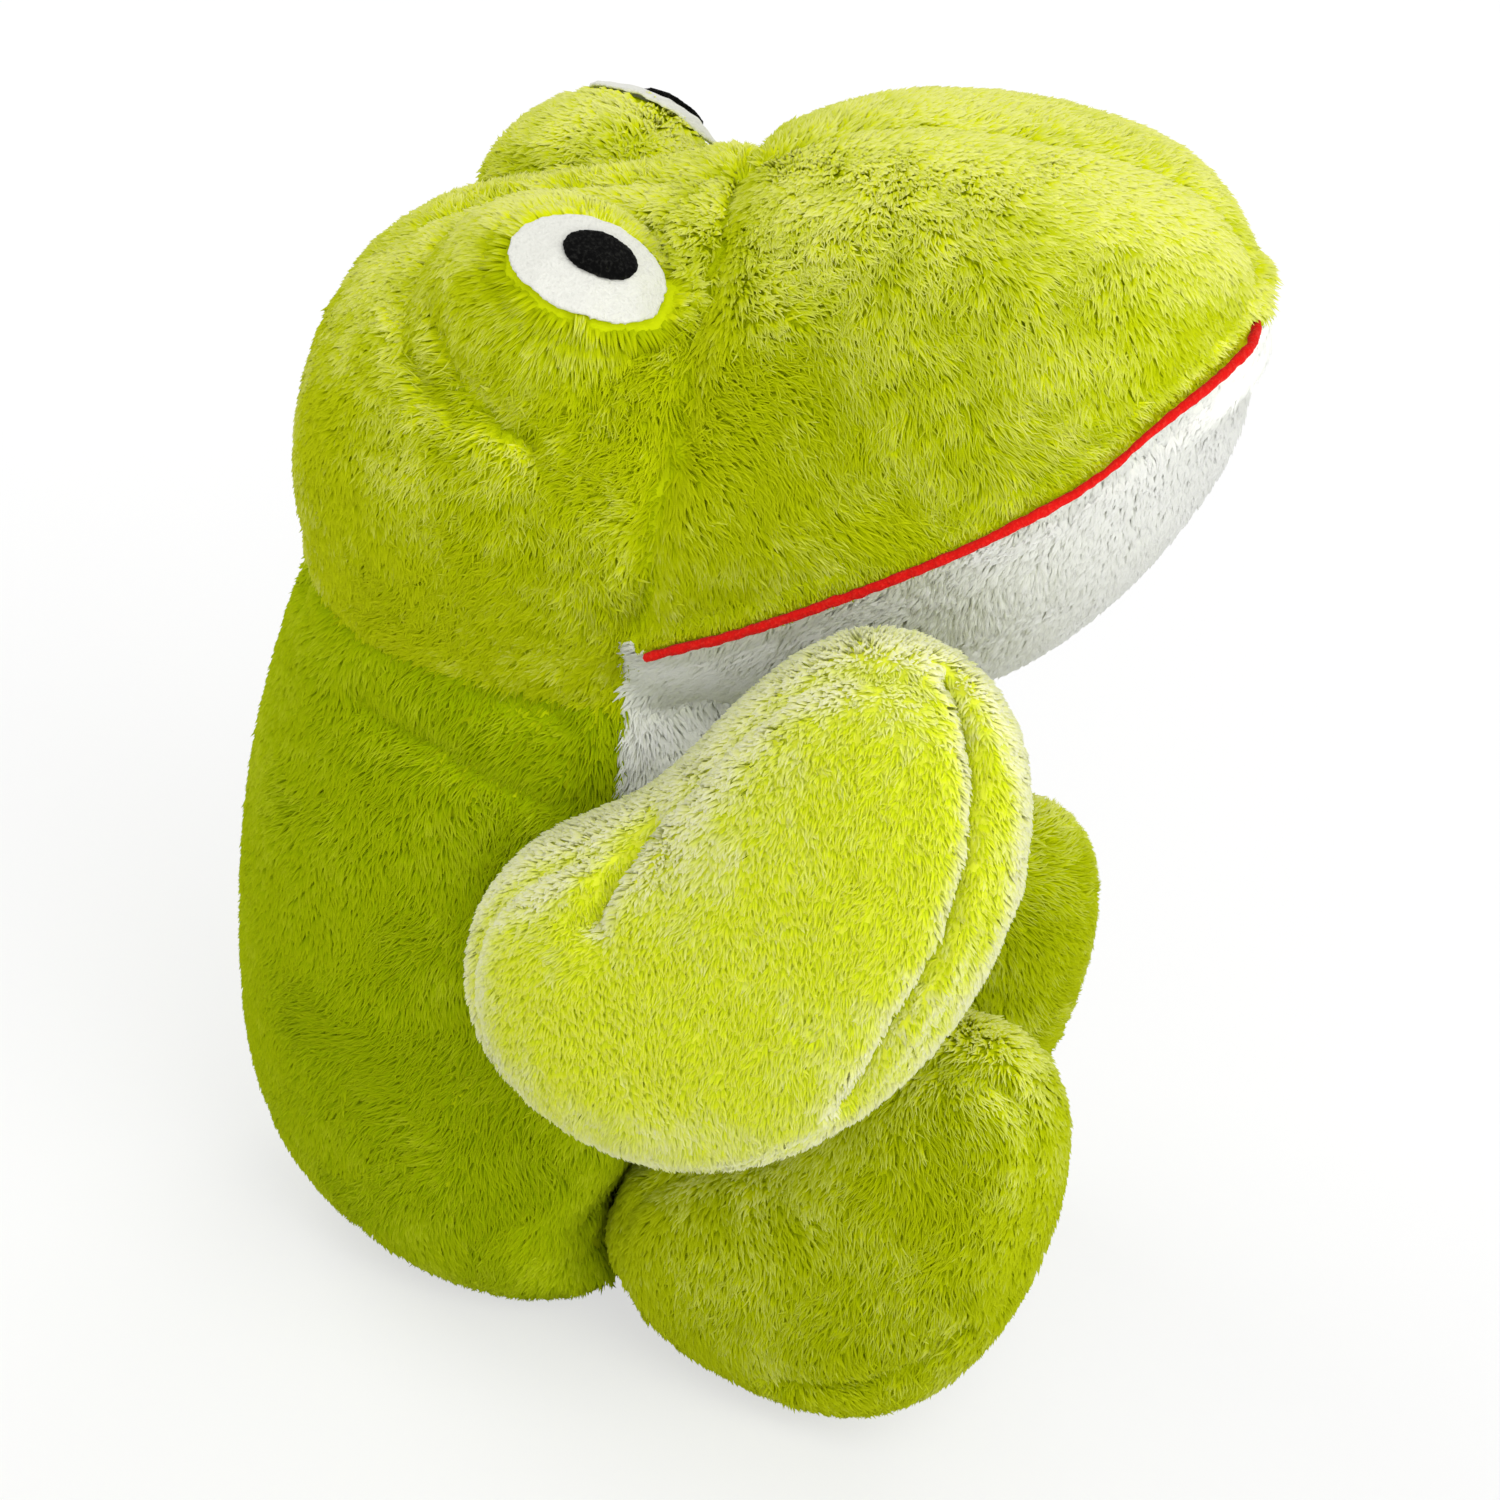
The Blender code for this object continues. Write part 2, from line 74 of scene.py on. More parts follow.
def makeCamera(view):
    a, e, r = (math.radians(view[name]) for name in ("azimuth", "elevation", "roll"))
    back = Vector((math.sin(a) * math.cos(e), -math.cos(a) * math.cos(e), math.sin(e)))
    level = Vector((math.cos(a), math.sin(a), 0))
    rise = back.cross(level)
    right = level * math.cos(r) + rise * math.sin(r)
    up = rise * math.cos(r) - level * math.sin(r)
    data = bpy.data.cameras.new("photoCamera")
    data.sensor_width = view["sensor"]
    data.lens = view["sensor"] * view["distance"] / (view["pixels"] * view["metresPerPixel"])
    data.clip_start = view["nearest"]
    cam = bpy.data.objects.new("photoCamera", data)
    scene.collection.objects.link(cam)
    cam.matrix_world = Matrix((right, up, back)).transposed().to_4x4()
    cam.matrix_world.translation = Vector(view["target"]) + back * view["distance"]
    scene.camera = cam


makeCamera(photoView)

# Soft round lamps, all turned to the toy. Sizes and places are in metres, powers in watts.
lamps = {
    "key": {"place": (-0.9, -0.5, 1.3), "size": 1.1, "power": 9},
    "beside": {"place": (-1.4, 0.2, 0.5), "size": 1.0, "power": 4.6},
    "front": {"place": (-0.5, -1.4, 0.6), "size": 1.0, "power": 6.5},
    "rear": {"place": (0.5, 1.1, 0.9), "size": 1.0, "power": 7},
    "side": {"place": (1.3, -0.3, 0.8), "size": 1.0, "power": 6},
}
for name, lamp in lamps.items():
    data = bpy.data.lights.new(name, "AREA")
    data.shape = "DISK"
    data.size = lamp["size"]
    data.energy = lamp["power"]
    light = bpy.data.objects.new(name, data)
    light.location = lamp["place"]
    light.rotation_mode = "QUATERNION"
    aim = Vector(photoView["target"]) - Vector(lamp["place"])
    light.rotation_quaternion = aim.to_track_quat("-Z", "Y")
    scene.collection.objects.link(light)


# A wire is one socket's output, and arithmetic on it adds the Math nodes.
class Wire:
    def __init__(self, tree, socket):
        self.tree, self.socket = tree, socket

    def into(self, socket):
        self.tree.links.new(self.socket, socket)

    def maths(self, operation, *values):
        step = self.tree.nodes.new("ShaderNodeMath")
        step.operation = operation
        for socket, value in zip(step.inputs, values):
            feed(socket, value)
        return Wire(self.tree, step.outputs[0])

    def __add__(self, other):
        return self.maths("ADD", self, other)

    def __radd__(self, other):
        return self.maths("ADD", other, self)

    def __mul__(self, other):
        return self.maths("MULTIPLY", self, other)

    def __rmul__(self, other):
        return self.maths("MULTIPLY", other, self)


def feed(socket, value):
    if isinstance(value, Wire):
        value.into(socket)
    else:
        socket.default_value = value


class Finish:
    def __init__(self, tree):
        self.tree = tree

    # Adds a node: its settings first, and then what its sockets take, by name or by number.
    def node(self, kind, settings, values, output=0):
        made = self.tree.nodes.new(kind)
        for name, setting in settings.items():
            if name == "stops":
                ramp = made.color_ramp
                while len(ramp.elements) < len(setting):
                    ramp.elements.new(1)
                for stop, (place, colour) in zip(ramp.elements, setting):
                    stop.position = place
                    stop.color = colour
            else:
                setattr(made, name, setting)
        for name, value in values.items():
            feed(made.inputs[name], value)
        return Wire(self.tree, made.outputs[output])

    def mix(self, share, low, high):
        return self.node("ShaderNodeMix", {"data_type": "RGBA"}, {0: share, 6: low, 7: high}, 2)

    def ripples(self, place, scale, detail=2):
        return self.node("ShaderNodeTexNoise", {}, {
            "Vector": place, "Scale": scale, "Detail": detail})


# The same on every fabric of the toy: almost no gloss, and a broad sheen where there is one.
fabric = {"specular": 0.04, "sheenRoughness": 0.5}


def newFinish(name, roughness, sheen=0, tint=(1, 1, 1, 1)):
    material = bpy.data.materials.new(name)
    material.use_nodes = True
    finish = Finish(material.node_tree)
    finish.material = material
    finish.sockets = material.node_tree.nodes["Principled BSDF"].inputs
    finish.sockets["Roughness"].default_value = roughness
    finish.sockets["Sheen Weight"].default_value = sheen
    finish.sockets["Sheen Roughness"].default_value = fabric["sheenRoughness"]
    finish.sockets["Sheen Tint"].default_value = tint
    finish.sockets["Specular IOR Level"].default_value = fabric["specular"]
    return finish


# A colour as a picture shows it, from 0 to 255, made the light that the shader needs.
def colour(red, green, blue):
    def light(value):
        value /= 255
        return value / 12.92 if value <= 0.04045 else ((value + 0.055) / 1.055) ** 2.4
    return (light(red), light(green), light(blue), 1)


# Colours of the locks at their roots, middles and tips, for the palest locks and the deepest.
# The body's and the legs' colours are the head's green plush darkened as painted shade.
piles = {
    "green": {
        "sheen": 0.03, "tint": (226, 238, 60),
        "pale": ((208, 220, 0), (238, 245, 24), (252, 254, 160)),
        "deep": ((156, 174, 0), (186, 200, 0), (212, 224, 0))},
    # painted shade: the head's green made darker, as the body sits in shade under the head
    "shadedBodyGreen": {
        "sheen": 0.05, "tint": (210, 225, 60),
        "pale": ((148, 170, 0), (192, 212, 0), (220, 232, 60)),
        "deep": ((124, 148, 0), (162, 184, 0), (188, 206, 4))},
    # painted shade: the head's green made a little darker, as shade falls on the legs
    "shadedLegGreen": {
        "sheen": 0.04, "tint": (220, 232, 60),
        "pale": ((184, 198, 0), (226, 235, 20), (246, 250, 160)),
        "deep": ((142, 160, 0), (180, 194, 0), (202, 216, 6))},
    "arm": {
        "sheen": 0.6, "tint": (240, 248, 170),
        "pale": ((244, 249, 120), (254, 255, 170), (255, 255, 230)),
        "deep": ((214, 232, 10), (236, 248, 16), (248, 253, 96))},
    "white": {
        "sheen": 0.1, "tint": (255, 255, 250),
        "pale": ((236, 238, 226), (250, 251, 246), (254, 254, 252)),
        "deep": ((236, 238, 224), (245, 247, 238), (251, 252, 247))},
}
pileRoughness = 0.9


# On the pile's own map v runs from a lock's root to its tip, and u is how pale the lock is.
def pileFinish(name, tones):
    finish = newFinish(name, pileRoughness, tones["sheen"], colour(*tones["tint"]))
    place = finish.node("ShaderNodeUVMap", {"uv_map": "OFBake"}, {})
    split = finish.tree.nodes.new("ShaderNodeSeparateXYZ")
    place.into(split.inputs[0])
    share, along = Wire(finish.tree, split.outputs[0]), Wire(finish.tree, split.outputs[1])
    ramps = [finish.node("ShaderNodeValToRGB", {"stops": [
        (0.0, colour(*root)), (0.5, colour(*middle)), (1.0, colour(*tip))]}, {"Fac": along})
        for root, middle, tip in (tones["deep"], tones["pale"])]
    finish.mix(share, *ramps).into(finish.sockets["Base Color"])
    return finish.material


finishes = {name: pileFinish(f"{name}Pile", tones) for name, tones in piles.items()}

# The backing under the pile, streaked from deep to pale as the roots of the pile are.
backing = {
    "green": ((178, 194, 0), (216, 228, 16)),
    "arm": ((232, 242, 40), (248, 252, 90)),
    "white": ((240, 242, 230), (250, 251, 245)),
    "roughness": 0.9,
    "streaks": 900,
    "patches": 70,
    "streakShare": 0.6,
    "patchShare": 0.4,
}


def streaked(finish, deep, pale):
    place = finish.node("ShaderNodeTexCoord", {}, {}, "Object")
    streaks = finish.ripples(place, backing["streaks"])
    patches = finish.ripples(place, backing["patches"])
    share = streaks * backing["streakShare"] + patches * backing["patchShare"]
    return finish.mix(share, colour(*deep), colour(*pale))


armBacking = newFinish("armBacking", backing["roughness"])
streaked(armBacking, *backing["arm"]).into(armBacking.sockets["Base Color"])
finishes["armBacking"] = armBacking.material
frogBacking = newFinish("frogBacking", backing["roughness"])
whites = frogBacking.node("ShaderNodeAttribute", {"attribute_name": "white"}, {}, "Fac")
frogBacking.mix(
    whites.maths("GREATER_THAN", whites, 0.5), streaked(frogBacking, *backing["green"]),
    streaked(frogBacking, *backing["white"])).into(frogBacking.sockets["Base Color"])
finishes["frogBacking"] = frogBacking.material

# Felt and the stitched cord: a base colour with pale or dark fibres over it.
felts = {
    "whiteFelt": {"base": (222, 222, 214), "fibre": (202, 202, 194), "amount": 0.5,
                  "roughness": 0.9},
    "blackFelt": {"base": (6, 6, 6), "fibre": (80, 80, 76), "amount": 0.2, "roughness": 0.9},
    "redCord": {"base": (214, 22, 18), "fibre": (238, 60, 46), "amount": 0.6, "roughness": 0.7},
}
fibres = {"scale": 1400, "detail": 4, "from": 0.5, "to": 0.75, "height": 0.0004, "sheen": 0.05}


def feltFinish(name, felt):
    finish = newFinish(name, felt["roughness"], fibres["sheen"])
    place = finish.node("ShaderNodeTexCoord", {}, {}, "Object")
    noise = finish.ripples(place, fibres["scale"], fibres["detail"])
    strands = finish.node("ShaderNodeValToRGB", {"stops": [
        (fibres["from"], (0, 0, 0, 1)), (fibres["to"], (1, 1, 1, 1))]}, {"Fac": noise})
    shade = finish.node("ShaderNodeSeparateColor", {}, {"Color": strands})
    finish.mix(shade * felt["amount"], colour(*felt["base"]), colour(*felt["fibre"])).into(
        finish.sockets["Base Color"])
    bump = finish.node("ShaderNodeBump", {}, {"Height": noise, "Distance": fibres["height"]})
    bump.into(finish.sockets["Normal"])
    return finish.material


for name, felt in felts.items():
    finishes[name] = feltFinish(name, felt)
print("finishes made")


def withMesh(name, mesh, finish=None):
    piece = bpy.data.objects.new(name, mesh)
    scene.collection.objects.link(piece)
    if finish:
        mesh.materials.append(finishes[finish])
    return piece


# One closed skin round several solids and plain blocks, which keeps their form and loses their
# seams. Rounds of smoothing take the steps of the voxels off.
weld = 0.00001


def skinRound(name, names, voxel, rounds, blocks=()):
    bm = bmesh.new()
    for node in names:
        bm.from_mesh(nodes[node].data)
    bmesh.ops.remove_doubles(bm, verts=bm.verts, dist=weld)
    for block in blocks:
        bmesh.ops.create_cone(bm, cap_ends=True, segments=40, radius1=1, radius2=1, depth=1,
                              matrix=Matrix.LocRotScale(block["place"], None, block["size"]))
    mesh = bpy.data.meshes.new(name)
    bm.to_mesh(mesh)
    bm.free()
    rough = withMesh(name, mesh)
    wrap = rough.modifiers.new("wrap", "REMESH")
    wrap.mode = "VOXEL"
    wrap.voxel_size = voxel
    bpy.context.view_layer.update()
    mesh = bpy.data.meshes.new_from_object(rough.evaluated_get(
        bpy.context.evaluated_depsgraph_get()))
    bpy.data.objects.remove(rough)
    bm = bmesh.new()
    bm.from_mesh(mesh)
    loose = set(bm.verts)  # the outer skin is the island of the highest point
    heap = [max(bm.verts, key=lambda vert: vert.co.z)]
    while heap:
        vert = heap.pop()
        if vert in loose:
            loose.remove(vert)
            heap += [edge.other_vert(vert) for edge in vert.link_edges]
    bmesh.ops.delete(bm, geom=list(loose), context="VERTS")
    for step in range(rounds):
        bmesh.ops.smooth_vert(bm, verts=bm.verts, factor=0.5, use_axis_x=True, use_axis_y=True,
                              use_axis_z=True)
    bmesh.ops.recalc_face_normals(bm, faces=bm.faces)
    bm.to_mesh(mesh)
    bm.free()
    mesh.shade_smooth()
    return withMesh(name, mesh)


def points(mesh, what="co"):
    values = np.empty(len(mesh.vertices) * 3)
    mesh.vertices.foreach_get(what, values)
    return values.reshape(-1, 3)


def unit(vectors):
    return vectors / np.maximum(np.linalg.norm(vectors, axis=1, keepdims=True), 1e-12)


def onSurface(vectors, normals):
    return unit(vectors - normals * np.sum(vectors * normals, axis=1, keepdims=True))


# 0 below low, 1 above high, and a smooth rise between them.
def soften(values, low, high):
    share = np.clip((values - low) / (high - low), 0, 1)
    return share * share * (3 - 2 * share)


trees = {}


def treeFrom(mesh):
    bm = bmesh.new()
    bm.from_mesh(mesh)
    tree = BVHTree.FromBMesh(bm)
    bm.free()
    return tree


def distanceTo(name, places):
    if name not in trees:
        trees[name] = treeFrom(nodes[name].data)
    tree = trees[name]
    return np.array([tree.find_nearest(place)[3] for place in places])


def nearest(names, places):
    return np.min([distanceTo(name, places) for name in names], axis=0)


# The stitched mouth follows its solid at the same height over the skin. It rises towards the
# tip, sinks into the pile there, and runs on past its corners.
mouthLine = {
    "rise": 0.0048,
    "riseAt": (-0.080, -0.062),  # all of the rise before the first y, none after the second
    "proud": 0.0010,
    "sink": 0.0046,
    "tip": (0.009, 0.024),  # sunk nearer the middle than the first x, out beyond the second
    "run": 0.006,
    "runFrom": 0.025,
    "corner": 0.002,
    "before": 0.003,
    "thin": 0.0001,
    "border": 0.0006,  # the green ends this far under the line
}


# How far each place is outside the skin, and which way is outward there.
def overSkin(places):
    found = [trees["skin"].find_nearest(place) for place in places]
    height = np.array([(Vector(place) - near[0]).dot(near[1])
                       for place, near in zip(places, found)])
    return height, np.array([near[1] for near in found])


def layMouth(mesh):
    places = points(mesh)
    height = overSkin(places)[0]
    places[:, 2] += mouthLine["rise"] * (1 - soften(places[:, 1], *mouthLine["riseAt"]))
    raised, outward = overSkin(places)
    tip = 1 - soften(np.abs(places[:, 0]), *mouthLine["tip"])
    places += outward * (height - raised + mouthLine["proud"] - tip * mouthLine["sink"])[:, None]
    end = places[:, 1].max()
    start = end - mouthLine["runFrom"]
    for side in (-1, 1):
        here = places[:, 0] * side > 0
        corner = places[here & (places[:, 1] > end - mouthLine["corner"])].mean(axis=0)
        before = places[here & (np.abs(places[:, 1] - start) < mouthLine["before"])].mean(axis=0)
        share = soften(places[here, 1], start, end)[:, None]
        places[here] += unit((corner - before)[None]) * share * mouthLine["run"]
    mesh.vertices.foreach_set("co", places.ravel())
    mesh.update()


# Distance to the mouth line, and how far up the skin from it a place lies.
def mouthSide(places, normals):
    found = [trees["mouth"].find_nearest(place) for place in places]
    upward = onSurface(np.array([[0.0, 0.0, 1.0]] * len(places)), normals)
    away = places - np.array([near[0] for near in found])
    above = np.sum(away * upward, axis=1) + mouthLine["border"]
    return np.array([near[3] for near in found]), above


# Creases are pressed into a skin on both sides, along lines of points with x taken positive.
creases = {
    "dart": {"skin": "frog", "width": 0.0026, "depth": 0.0036, "points": (
        (0.0421, 0.0723, 0.2435), (0.0475, 0.0675, 0.2386), (0.0515, 0.0624, 0.2335),
        (0.0540, 0.0562, 0.2289), (0.0550, 0.0487, 0.2252), (0.0562, 0.0429, 0.2243))},
    "dartEdge": {"skin": "frog", "width": 0.0016, "depth": 0.0010, "points": (
        (0.0475, 0.0664, 0.2426), (0.0519, 0.0625, 0.2384), (0.0538, 0.0572, 0.2329),
        (0.0552, 0.0504, 0.2286))},
    "neck": {"skin": "frog", "width": 0.0045, "depth": 0.0030, "points": (
        (0.0131, 0.0899, 0.1600), (0.0299, 0.0772, 0.1606), (0.0400, 0.0640, 0.1609),
        (0.0463, 0.0477, 0.1613), (0.0490, 0.0281, 0.1618))},
    "bodyFold": {"skin": "frog", "width": 0.0035, "depth": 0.0012, "points": (
        (0.0400, 0.0720, 0.1500), (0.0520, 0.0480, 0.1465), (0.0560, 0.0260, 0.1440))},
    "elbow": {"skin": "arm", "width": 0.0040, "depth": 0.0052, "points": (
        (0.0923, 0.0051, 0.1689), (0.0964, 0.0083, 0.1623), (0.1001, 0.0106, 0.1557),
        (0.1027, 0.0114, 0.1488))},
    "armSeam": {"skin": "arm", "width": 0.0030, "depth": 0.0060, "points": (
        (0.0975, -0.0478, 0.2198), (0.1049, -0.0537, 0.2133), (0.1089, -0.0586, 0.2014),
        (0.1119, -0.0608, 0.1858), (0.1131, -0.0603, 0.1681), (0.1128, -0.0542, 0.1450),
        (0.1076, -0.0485, 0.1202))},
    "soleSeam": {"skin": "leg", "width": 0.0026, "depth": 0.0036, "points": (
        (0.0654, -0.0483, 0.0162), (0.0692, -0.0633, 0.0226), (0.0709, -0.0769, 0.0338),
        (0.0694, -0.0865, 0.0459))},
}


def creaseDistance(places, line):
    mirrored = places.copy()
    mirrored[:, 0] = np.abs(mirrored[:, 0])
    line = np.array(line)
    best = np.full(len(places), 1.0)
    for start, end in zip(line[:-1], line[1:]):
        span = end - start
        share = np.clip((mirrored - start) @ span / (span @ span), 0, 1)
        gap = np.linalg.norm(mirrored - start - share[:, None] * span, axis=1)
        best = np.minimum(best, gap)
    return best


# The skins are small and stiff for Cloth, so the pressure that swells them by a millimetre or two
# is high.
cloth = {
    "pressure": 3000,
    "stiffness": 5,
    "bending": 0.1,
    "frames": 12,
    "start": 0.0002,
    "limit": 0.0032,
    "leastPin": 0.02,
    "quickSwell": 0.0012,
}


# Puffs a skin up between its pinned seams, and returns how far each point has moved.
def puff(piece, pins):
    before = points(piece.data)
    group = piece.vertex_groups.new(name="seams")
    for index, weight in enumerate(pins):
        if weight > cloth["leastPin"]:
            group.add([index], float(weight), "REPLACE")
    sim = piece.modifiers.new("puff", "CLOTH")
    sim.settings.use_pressure = True
    sim.settings.uniform_pressure_force = cloth["pressure"]
    sim.settings.tension_stiffness = cloth["stiffness"]
    sim.settings.compression_stiffness = cloth["stiffness"]
    sim.settings.shear_stiffness = cloth["stiffness"]
    sim.settings.bending_stiffness = cloth["bending"]
    sim.settings.effector_weights.gravity = 0
    sim.settings.vertex_group_mass = "seams"
    sim.point_cache.frame_start = 1
    sim.point_cache.frame_end = cloth["frames"]
    for step in range(1, cloth["frames"] + 1):
        scene.frame_set(step)
    shape = piece.evaluated_get(bpy.context.evaluated_depsgraph_get())
    moved = points(shape.data) - before
    piece.modifiers.remove(sim)
    piece.vertex_groups.remove(group)
    scene.frame_set(1)
    length = np.linalg.norm(moved, axis=1, keepdims=True)
    return moved * np.minimum(1, cloth["limit"] / np.maximum(length, 1e-9))


def setPoints(piece, places):
    piece.data.vertices.foreach_set("co", places.ravel())
    piece.data.update()


# Each skin stands for the stuffing inside it, and its pile for the panels round it. The blocks
# close the neck inside, so that head and body make one skin.
skins = {
    "frog": {
        "nodes": [
            "back_panel_left", "back_panel_right", "belly_panel", "seat_panel",
            "cheek_panel_left", "cheek_panel_right", "muzzle_panel_left", "muzzle_panel_right",
            "chin_panel", "eye_dome_left", "eye_dome_right"],
        "fill": ["body_stuffing", "head_stuffing"],
        "blocks": (
            {"place": (0, 0.045, 0.163), "size": (0.050, 0.049, 0.030)},
            {"place": (0, 0.030, 0.163), "size": (0.048, 0.040, 0.026)}),
        "voxel": 0.0034,
    },
}
for side in ("left", "right"):
    for kind in ("arm", "leg"):
        skins[f"{kind}_{side}"] = {
            "nodes": [f"{kind}_outer_panel_{side}", f"{kind}_inner_panel_{side}"],
            "fill": [f"{kind}_stuffing_{side}"],
            "blocks": (),
            "voxel": 0.0031,
        }
limbNodes = [name for key, skin in skins.items() if key != "frog" for name in skin["nodes"]]
bodyNodes = skins["frog"]["nodes"][:4]
whiteNodes = ["belly_panel", "chin_panel"]

# How a skin is shaped between its seams. Depths go inwards, and the pile stands on what is left.
shaping = {
    "smoothing": 5,
    "seam": {"depth": 0.0012, "width": 0.003, "held": 0.004},
    "contact": (0.001, 0.005),  # held still nearer to another body, free beyond
    "pileDepth": {"frog": 0.0034, "arm": 0.0028, "leg": 0.0032},
    "pileLost": 0.85,  # share of the pile's depth that is lost where the skin is held
    "felt": {"fade": (0.0005, 0.004), "least": 0.4},
    "mouth": {"fade": (0.001, 0.006), "least": 0.1, "valley": (0.002, 0.008)},
    "lip": {"across": (0.022, 0.044), "below": 0.008, "width": 0.006, "reach": 0.03,
            "bulge": 0.0045},
    "whiteFade": 0.02,
    "ground": 0.0005,
}
mouthReach = 0.006  # within this of the mouth line the line parts green from white


# Which panel each place belongs to, and how near it is to the seam with the next one.
def sortPanels(skin, places, normals):
    reach = np.array([distanceTo(name, places) for name in skin["nodes"]])
    if "chin_panel" in skin["nodes"]:
        mouth, above = mouthSide(places, normals)
        near = mouth < mouthReach
        for row, name in enumerate(skin["nodes"]):
            reach[row] += (near & ((name in whiteNodes) == (above > 0))) * shaping["whiteFade"]
    order = np.sort(reach, axis=0)
    return reach, np.argmin(reach, axis=0), order[1] - order[0]


for key, skin in skins.items():
    skin["piece"] = skinRound(
        f"{key}_skin", skin["nodes"] + skin["fill"], skin["voxel"], shaping["smoothing"],
        skin["blocks"])
trees["skin"] = treeFrom(skins["frog"]["piece"].data)
mouthMesh = nodes["mouth_cord"].data.copy()
layMouth(mouthMesh)
trees["mouth"] = treeFrom(mouthMesh)


# 1 on a line, and less and less away from it.
def dip(gap, width):
    return np.exp(-(gap / width) ** 2)


# The rough skin is puffed up and subdivided, and the fine one gets its seams and creases.
seamShape, feltShape, mouthShape, lip = (shaping[name] for name in (
    "seam", "felt", "mouth", "lip"))
for key, skin in skins.items():
    kind = key.split("_")[0]
    piece = skin["piece"]
    for stage in ("rough", "fine"):
        places = points(piece.data)
        normals = unit(points(piece.data, "normal"))
        reach, panel, seam = sortPanels(skin, places, normals)
        valley = seamShape["depth"] * dip(seam, seamShape["width"])
        crease = np.full(len(places), 1.0)
        for line in creases.values():
            if line["skin"] == kind:
                gap = creaseDistance(places, line["points"])
                crease = np.minimum(crease, gap / line["width"])
                valley = np.maximum(valley, line["depth"] * dip(gap, line["width"]))
        others = limbNodes if key == "frog" else bodyNodes
        held = 1 - soften(nearest(others, places), *shaping["contact"])
        if stage == "rough":
            held = np.maximum(held, dip(seam, seamShape["held"]))
            held = np.maximum(held, dip(crease, 1))
            setPoints(piece, places + normals * (cloth["start"] * (1 - held))[:, None])
            moved = puff(piece, held)
            skin["swell"] = np.linalg.norm(moved, axis=1)
            bm = bmesh.new()
            bm.from_mesh(piece.data)
            shifts = [bm.verts.layers.float.new(f"shift{axis}") for axis in range(3)]
            for vert, shift in zip(bm.verts, moved.tolist()):
                for axis in range(3):
                    vert[shifts[axis]] = shift[axis]
            bmesh.ops.subdivide_edges(bm, edges=bm.edges, cuts=1, use_grid_fill=True, smooth=0.5)
            moved = np.array([[vert[shift] for shift in shifts] for vert in bm.verts])
            for shift in shifts:
                bm.verts.layers.float.remove(shift)
            bm.to_mesh(piece.data)
            bm.free()
    depth = np.full(len(places), shaping["pileDepth"][kind]) * (1 - shaping["pileLost"] * held)
    felt = np.full(len(places), 1.0)
    mouth = np.full(len(places), 1.0)
    if key == "frog":
        felt = nearest(["eye_white_left", "eye_white_right"], places)
        mouth, above = mouthSide(places, normals)
        for gap, near in ((felt, feltShape), (mouth, mouthShape)):
            depth *= near["least"] + (1 - near["least"]) * soften(gap, *near["fade"])
        valley *= soften(mouth, *mouthShape["valley"])
        tip = 1 - soften(np.abs(places[:, 0]), *lip["across"])
        bulge = dip(mouth - lip["below"], lip["width"]) * (above < 0) * (mouth < lip["reach"])
        depth -= tip * bulge * lip["bulge"]
        white = np.min(reach[[skin["nodes"].index(name) for name in whiteNodes]], axis=0)
        green = np.min([row for name, row in zip(skin["nodes"], reach)
                        if name not in whiteNodes], axis=0)
        share = piece.data.attributes.new("white", "FLOAT", "POINT")
        fade = (green - white) / shaping["whiteFade"]
        share.data.foreach_set("value", np.clip(0.5 + fade, 0, 1))
    skin["panel"] = panel
    skin["places"] = {
        "seam": np.minimum(seam, crease * seamShape["width"]), "held": held, "depth": depth,
        "felt": felt, "mouth": mouth, "crease": crease}
    skin["flat"] = places.copy()
    places += moved - normals * (depth + valley * (1 - held))[:, None]
    places[:, 2] = np.maximum(places[:, 2], shaping["ground"])
    setPoints(piece, places)
    print(key, "skin has", len(places), "points, puffed up by", skin["swell"].mean().round(5))


# A lock of pile is a closed spike with two points across its root, one point on its back part of
# the way along, and a tip.
spike = bmesh.new()
bmesh.ops.create_cone(spike, cap_ends=True, segments=3, radius1=1, radius2=0, depth=1)
spike.verts.ensure_lookup_table()
tipIndex = max(spike.verts, key=lambda vert: vert.co.z).index
rootOrder = [vert.index for vert in spike.verts if vert.index != tipIndex][::-1]
spikeFaces = np.array([[vert.index for vert in face.verts] for face in spike.faces])
spike.free()

# How much the locks of one coat differ, from a least to a most share of the usual, and their form.
lock = {
    "width": (0.7, 1.2),
    "rise": (0.7, 1.1),
    "lie": (0.6, 1.3),
    "gather": (0.3, 1.3),
    "back": 0.55,  # how far along the point on the back is
    "arch": 0.22,
    "tone": 0.10,
    "round": 0.45,
    "tipLean": 0.4,
    "toneSpread": 0.004,
    "ground": 0.0003,
}


